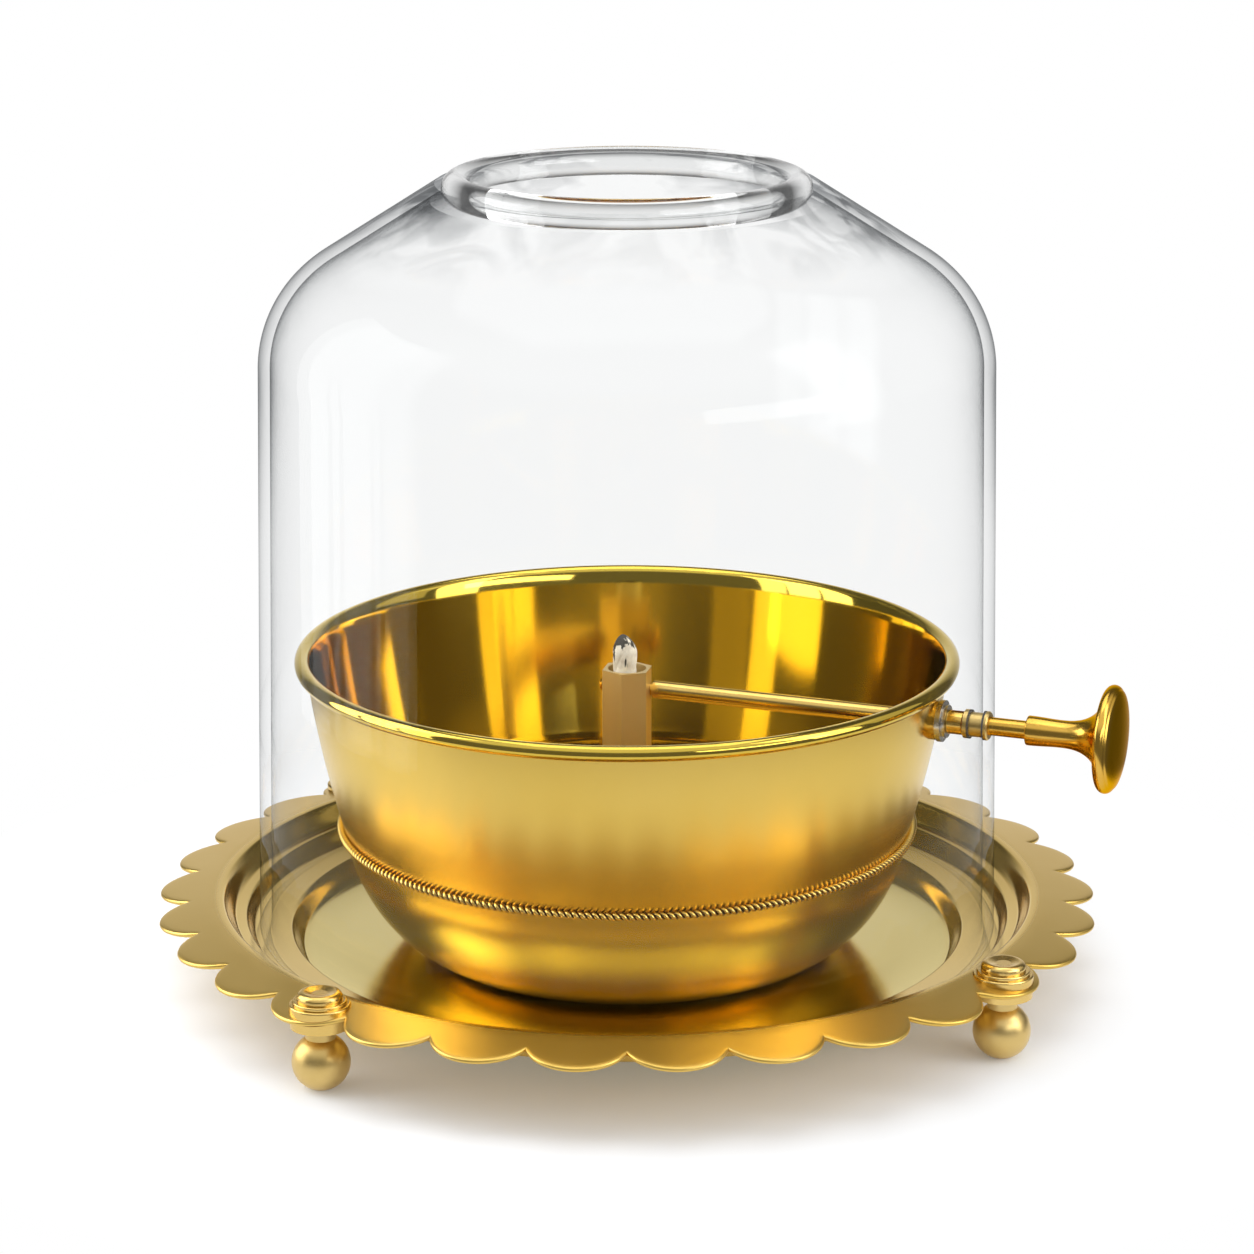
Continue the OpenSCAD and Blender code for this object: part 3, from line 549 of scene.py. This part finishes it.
def makeChimney():  # wall, shoulder arc and a cone that meets the lip's bead as a tangent; the bead is a ring
    t, lip, slope = glass["wall"], glass["lip"] / 2, glass["slope"]
    tilt = math.radians(slope)
    lipX, lipZ = glass["mouthR"] + lip, glass["high"] - lip
    cx = glass["topR"] - glass["shoulderR"]
    cz = lipZ - (cx - lipX) * math.tan(tilt) - (glass["shoulderR"] - lip) / math.cos(tilt)
    lipEnd = math.radians(450 - slope - math.degrees(math.acos(1 - t / lip)))
    outerEnd = (lipX + lip * math.sin(tilt), lipZ + lip * math.cos(tilt))
    innerEnd = (lipX + lip * math.cos(lipEnd), lipZ + lip * math.sin(lipEnd))
    foot, footTop = glass["footR"], lamp["seatZ"] + glass["footH"]

    def face(inset, end):  # foot, wall, shoulder and cone, set in from the outside
        wallLine = line((foot - inset, footTop), (glass["topR"] - inset, cz), 30)
        shoulder = arc(cx, cz, glass["shoulderR"] - inset, 0, 90 - slope, 30)
        return np.concatenate([wallLine, shoulder, line(shoulder[-1], end, 10)[1:]])

    footArc = arc(foot - t / 2, footTop, t / 2, 180, 360, 11)
    footArc[:, 1] = footTop + (footArc[:, 1] - footTop) * glass["footH"] / (t / 2)
    profile = np.concatenate([face(t, innerEnd)[::-1], footArc[1:-1], face(0, outerEnd)])
    wallGrid = turnedUp(profile, glass["turns"])
    wallPiece = gridMesh("chimney_glass", wallGrid, True, False, "glass", "chimney", 60.0)
    bead = arc(lipX, lipZ, lip, 0, 360, 49)[:-1]
    gridMesh("chimney_lip", turnedUp(bead, glass["turns"]), True, True, "glass", "chimney", 60.0, lipFinish)
    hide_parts("glass_chimney")


knob = {"from": 91.68, "long": 20.8, "discR": 11.8, "neckR": 3.25, "edge": 1.4, "bulge": 1.2, "neckL": 7.6,
        "waist": 3.0, "flareRun": 1.55, "flareRise": 2.3}


def makeKnob():  # neck, waist, a flare of run 1 - (1 - t)^1.55 and rise t^2.3, a rounded edge, a bulged face
    start, n, edge, waist = knob["from"], knob["neckR"], knob["edge"], knob["waist"]
    edgeX = start + knob["long"] - edge - knob["bulge"]
    edgeR = knob["discR"] - edge
    flareX = start + knob["neckL"]
    neck = np.array([[start, 0], [start, n - 0.25], [start + 0.07, n - 0.07], [start + 0.25, n]])
    taper = softStep((start + 0.6, n), (flareX - 0.3, waist), 16)
    t = np.linspace(0, 1, 40)
    run, rise = 1 - (1 - t) ** knob["flareRun"], t ** knob["flareRise"]
    flareEnd, flareTop = edgeX - edge * 0.75, edgeR + 0.6
    flare = np.stack([flareX + (flareEnd - flareX) * run, waist + (flareTop - waist) * rise], -1)
    rim = arc(edgeX, edgeR, edge, 150, 20, 24)
    s = np.pi / 2 * np.linspace(0, 1, 14)[1:]
    face = np.stack([edgeX + edge + knob["bulge"] * np.sin(s), (edgeR + edge * 0.3) * np.cos(s)], -1)
    face[-1, 1] = 0
    profile = np.concatenate([neck, taper, flare, rim, face])
    piece = gridMesh("knob_turned", turnedOut(profile, 144), True, False, "bronze", "knob", 50.0)
    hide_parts("knob")


wick = {"y": -1.3, "r": 2.8, "low": 25.6, "top": 77.5, "bulge": 73.2, "strands": 5, "lay": 0.22,
        "groove": 0.10, "slack": 0.985, "fray": 0.02, "tipRound": 0.62, "lean": -0.5}


def makeWick():  # a twisted cord: radius dips between strands, and narrows above the bulge to a leaning tip
    rng = np.random.default_rng(7)
    low, bulge = wick["low"], wick["bulge"]
    span = wick["top"] - bulge
    rise = np.sin(np.linspace(0, np.pi / 2, 40))
    z = np.concatenate([[low], np.linspace(low, bulge - 0.05, 130), bulge + span * rise])
    tip = np.clip((z - bulge) / span, 0, 1)
    crown = (1 - tip ** 2) ** wick["tipRound"] * (0.92 + 0.08 * np.exp(-((z - bulge) / 3) ** 2))
    crown[0] = 0
    a = np.linspace(0, 2 * np.pi, 96, endpoint=False)
    twist = wick["strands"] * (a[None, :] - wick["lay"] * (z[:, None] - low))
    ridge = 1 - wick["groove"] * (1 - np.abs(np.cos(twist / 2))) ** 1.5
    fray = 1 + wick["fray"] * rng.standard_normal((len(z), len(a)))
    r = wick["r"] * wick["slack"] * crown[:, None] * np.minimum(1.0, ridge * fray)
    lean = wick["lean"] * tip[:, None] ** 2
    grid = np.stack([lean + r * np.cos(a), wick["y"] + r * np.sin(a), z[:, None] + 0 * r], -1)
    piece = gridMesh("wick_cord", grid.transpose(1, 0, 2), True, False, "wick", "wick", 70.0)
    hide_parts("wick")


makeTray()
makeBowl()
makeRope()
makeChimney()
makeKnob()
makeWick()
print("pieces: tray, bowl, rope, chimney, knob, wick")

cameraSet = {"back": 0.8045, "azimuth": 21.0, "high": 0.3061, "lookZ": 0.0789, "lens": 107.63, "sensor": 36.0}


def seenDirect(wire):  # 1 on rays from the camera, through glass or off metal; then the last two alone
    outs = wire.node("LightPath").socket.node.outputs
    names = ("Is Camera Ray", "Is Transmission Ray", "Is Glossy Ray")
    direct, bent, offMetal = [Wire(wire.tree, outs[name]) for name in names]
    return wire.math("MAXIMUM", wire.math("MAXIMUM", direct, bent), offMetal), bent, offMetal


# a round white table; radii in metres
tableLook = {"tone": (rgb(0.86, 0.88, 0.91), rgb(0.88, 0.90, 0.93)), "grain": 6.0, "rough": 0.9, "shine": 0.1,
             "lift": 0.12, "whiteR": (0.102, 0.180), "far": 0.215, "sides": 96,
             "glowRingFrom": (0.098, 0.110), "mirrorTo": (0.195, 0.213), "mirrorDark": rgb(0.12, 0.12, 0.12)}


def makeStage():  # matt under the lamp, white towards the edge; metal sees a ring outside the tray glow white, a painted reflection with no shadow in it, and dark beyond
    mat, wire, output = newMaterial("paleFloor")
    spot, x, y, z = place(wire)
    radius = fromAxis(x, y)
    tone = noise(wire, spot, tableLook["grain"], 3.0).mixed(*tableLook["tone"])
    matt = wire.node("BsdfPrincipled", Base_Color=tone, Roughness=tableLook["rough"],
                     Specular_IOR_Level=tableLook["shine"])
    seen, _, offMetal = seenDirect(wire)
    beyond = offMetal * radius.clamped(*tableLook["mirrorTo"])
    glow = wire.node("Emission", Color=beyond.mixed(rgb(1, 1, 1), tableLook["mirrorDark"]), Strength=1.0)
    white = tableLook["lift"] + (1 - tableLook["lift"]) * radius.clamped(*tableLook["whiteR"])
    # painted reflection: to metal the floor glows white in a ring outside the tray, with no shadow in it
    glowRingToMetal = offMetal * radius.clamped(*tableLook["glowRingFrom"])
    show(wire.node("MixShader", i0=wire.math("MAXIMUM", white * seen, glowRingToMetal), i1=matt, i2=glow), output)
    turn = np.linspace(0, 2 * np.pi, tableLook["sides"], endpoint=False)
    rim = np.stack([tableLook["far"] * np.cos(turn), tableLook["far"] * np.sin(turn), 0 * turn], -1)
    mesh = bpy.data.meshes.new("floor")
    mesh.from_pydata(rim.tolist(), [], [tuple(range(tableLook["sides"]))])
    mesh.materials.append(mat)
    floor = bpy.data.objects.new("floor", mesh)
    bpy.context.scene.collection.objects.link(floor)


# what metal mirrors, by how far a direction points to the front or up, from -1 to 1
roomLook = {"back": 0.88, "side": 0.11, "front": 0.17, "ceiling": 0.95, "sideFrom": (-0.97, -0.78),
            "frontFrom": (-0.1, 0.6), "ceilingUp": (0.42, 0.62), "ceilingFront": (-0.35, 0.15),
            "lens": rgb(0.12, 0.12, 0.13), "lensUp": (0.0, 0.35),
            "fill": rgb(1, 0.995, 0.985), "fillStrength": 0.72}


def makeWorld():  # white to the eye, an even fill on the lamp, a room of bright and dim sides in its metal
    world = bpy.data.worlds.new("studio")
    bpy.context.scene.world = world
    world.use_nodes = True
    tree = world.node_tree
    tree.nodes.clear()
    wire = Wire(tree)
    look = roomLook
    a = math.radians(cameraSet["azimuth"])
    way = wire.node("TexCoord", out=0)
    ahead = (math.sin(a), -math.cos(a), 0)
    front = wire.node("VectorMath", {"operation": "DOT_PRODUCT"}, out=1, i0=way, i1=ahead)
    up = Wire(tree, wire.node("SeparateXYZ", i0=way).socket.node.outputs[2])
    back, side, near, ceiling = [rgb(*[look[key]] * 3) for key in ("back", "side", "front", "ceiling")]
    around = front.clamped(*look["sideFrom"]).mixed(back, side)
    around = front.clamped(*look["frontFrom"]).mixed(around, near)
    overhead = up.clamped(*look["ceilingUp"]) * front.clamped(*look["ceilingFront"])
    around = overhead.mixed(around, ceiling)
    seen, bent, offMetal = seenDirect(wire)
    lens = up.clamped(*look["lensUp"]).mixed(rgb(1, 1, 1), look["lens"])  # what the thick lip bends into view
    tone = offMetal.mixed(bent.mixed(rgb(1, 1, 1), lens), around)
    white = wire.node("Background", Color=tone, Strength=1.0)
    soft = wire.node("Background", Color=look["fill"], Strength=look["fillStrength"])
    show(wire.node("MixShader", i0=seen, i1=soft, i2=white), tree.nodes.new("ShaderNodeOutputWorld"))


softboxes = [  # place, aim, width, height, brightness
    ((-0.160, -0.170, 0.16), (0, 0, 0.12), 0.050, 0.30, 2.2),
    ((-0.198, -0.124, 0.16), (0, 0, 0.12), 0.066, 0.30, 3.4),
    ((-0.2255, -0.0604, 0.16), (0, 0, 0.12), 0.066, 0.30, 3.4),
    ((0.50, 0.01, 0.34), (0, 0, 0.12), 0.20, 0.62, 2.6),
    ((0.42, 0.24, 0.30), (0, 0, 0.10), 0.25, 0.35, 0.5),
    ((0.455, -0.205, 0.222), (0, 0, 0.10), 0.42, 0.10, 3.4),
    ((-0.1, 0.2, 1.3), (0, 0, 0.05), 1.0, 1.0, 1.8),
]


def aimed(obj, spot, aim):  # at spot, looking at aim
    obj.location = spot
    obj.rotation_mode = "QUATERNION"
    obj.rotation_quaternion = (Vector(aim) - Vector(spot)).to_track_quat("-Z", "Y")
    bpy.context.scene.collection.objects.link(obj)


def makeLights():
    for i, (spot, aim, wide, high, bright) in enumerate(softboxes):
        light = bpy.data.lights.new("softbox_%d" % (i + 1), "AREA")
        light.shape, light.size, light.size_y = "RECTANGLE", wide, high
        light.energy = bright * math.pi * wide * high  # so that the panel itself shows this bright
        box = bpy.data.objects.new(light.name, light)
        box.visible_camera = False
        aimed(box, spot, aim)


def makeCamera():
    a = math.radians(cameraSet["azimuth"])
    data = bpy.data.cameras.new("photoView")
    data.lens, data.sensor_width = cameraSet["lens"], cameraSet["sensor"]
    data.clip_start, data.clip_end = 0.01, 50.0
    camera = bpy.data.objects.new("photoView", data)
    spot = (cameraSet["back"] * math.sin(a), -cameraSet["back"] * math.cos(a), cameraSet["high"])
    aimed(camera, spot, (0, 0, cameraSet["lookZ"]))
    bpy.context.scene.camera = camera


makeStage()
makeWorld()
makeLights()
makeCamera()
bpy.context.scene.view_settings.view_transform = "Standard"
print("stage, light and camera set")
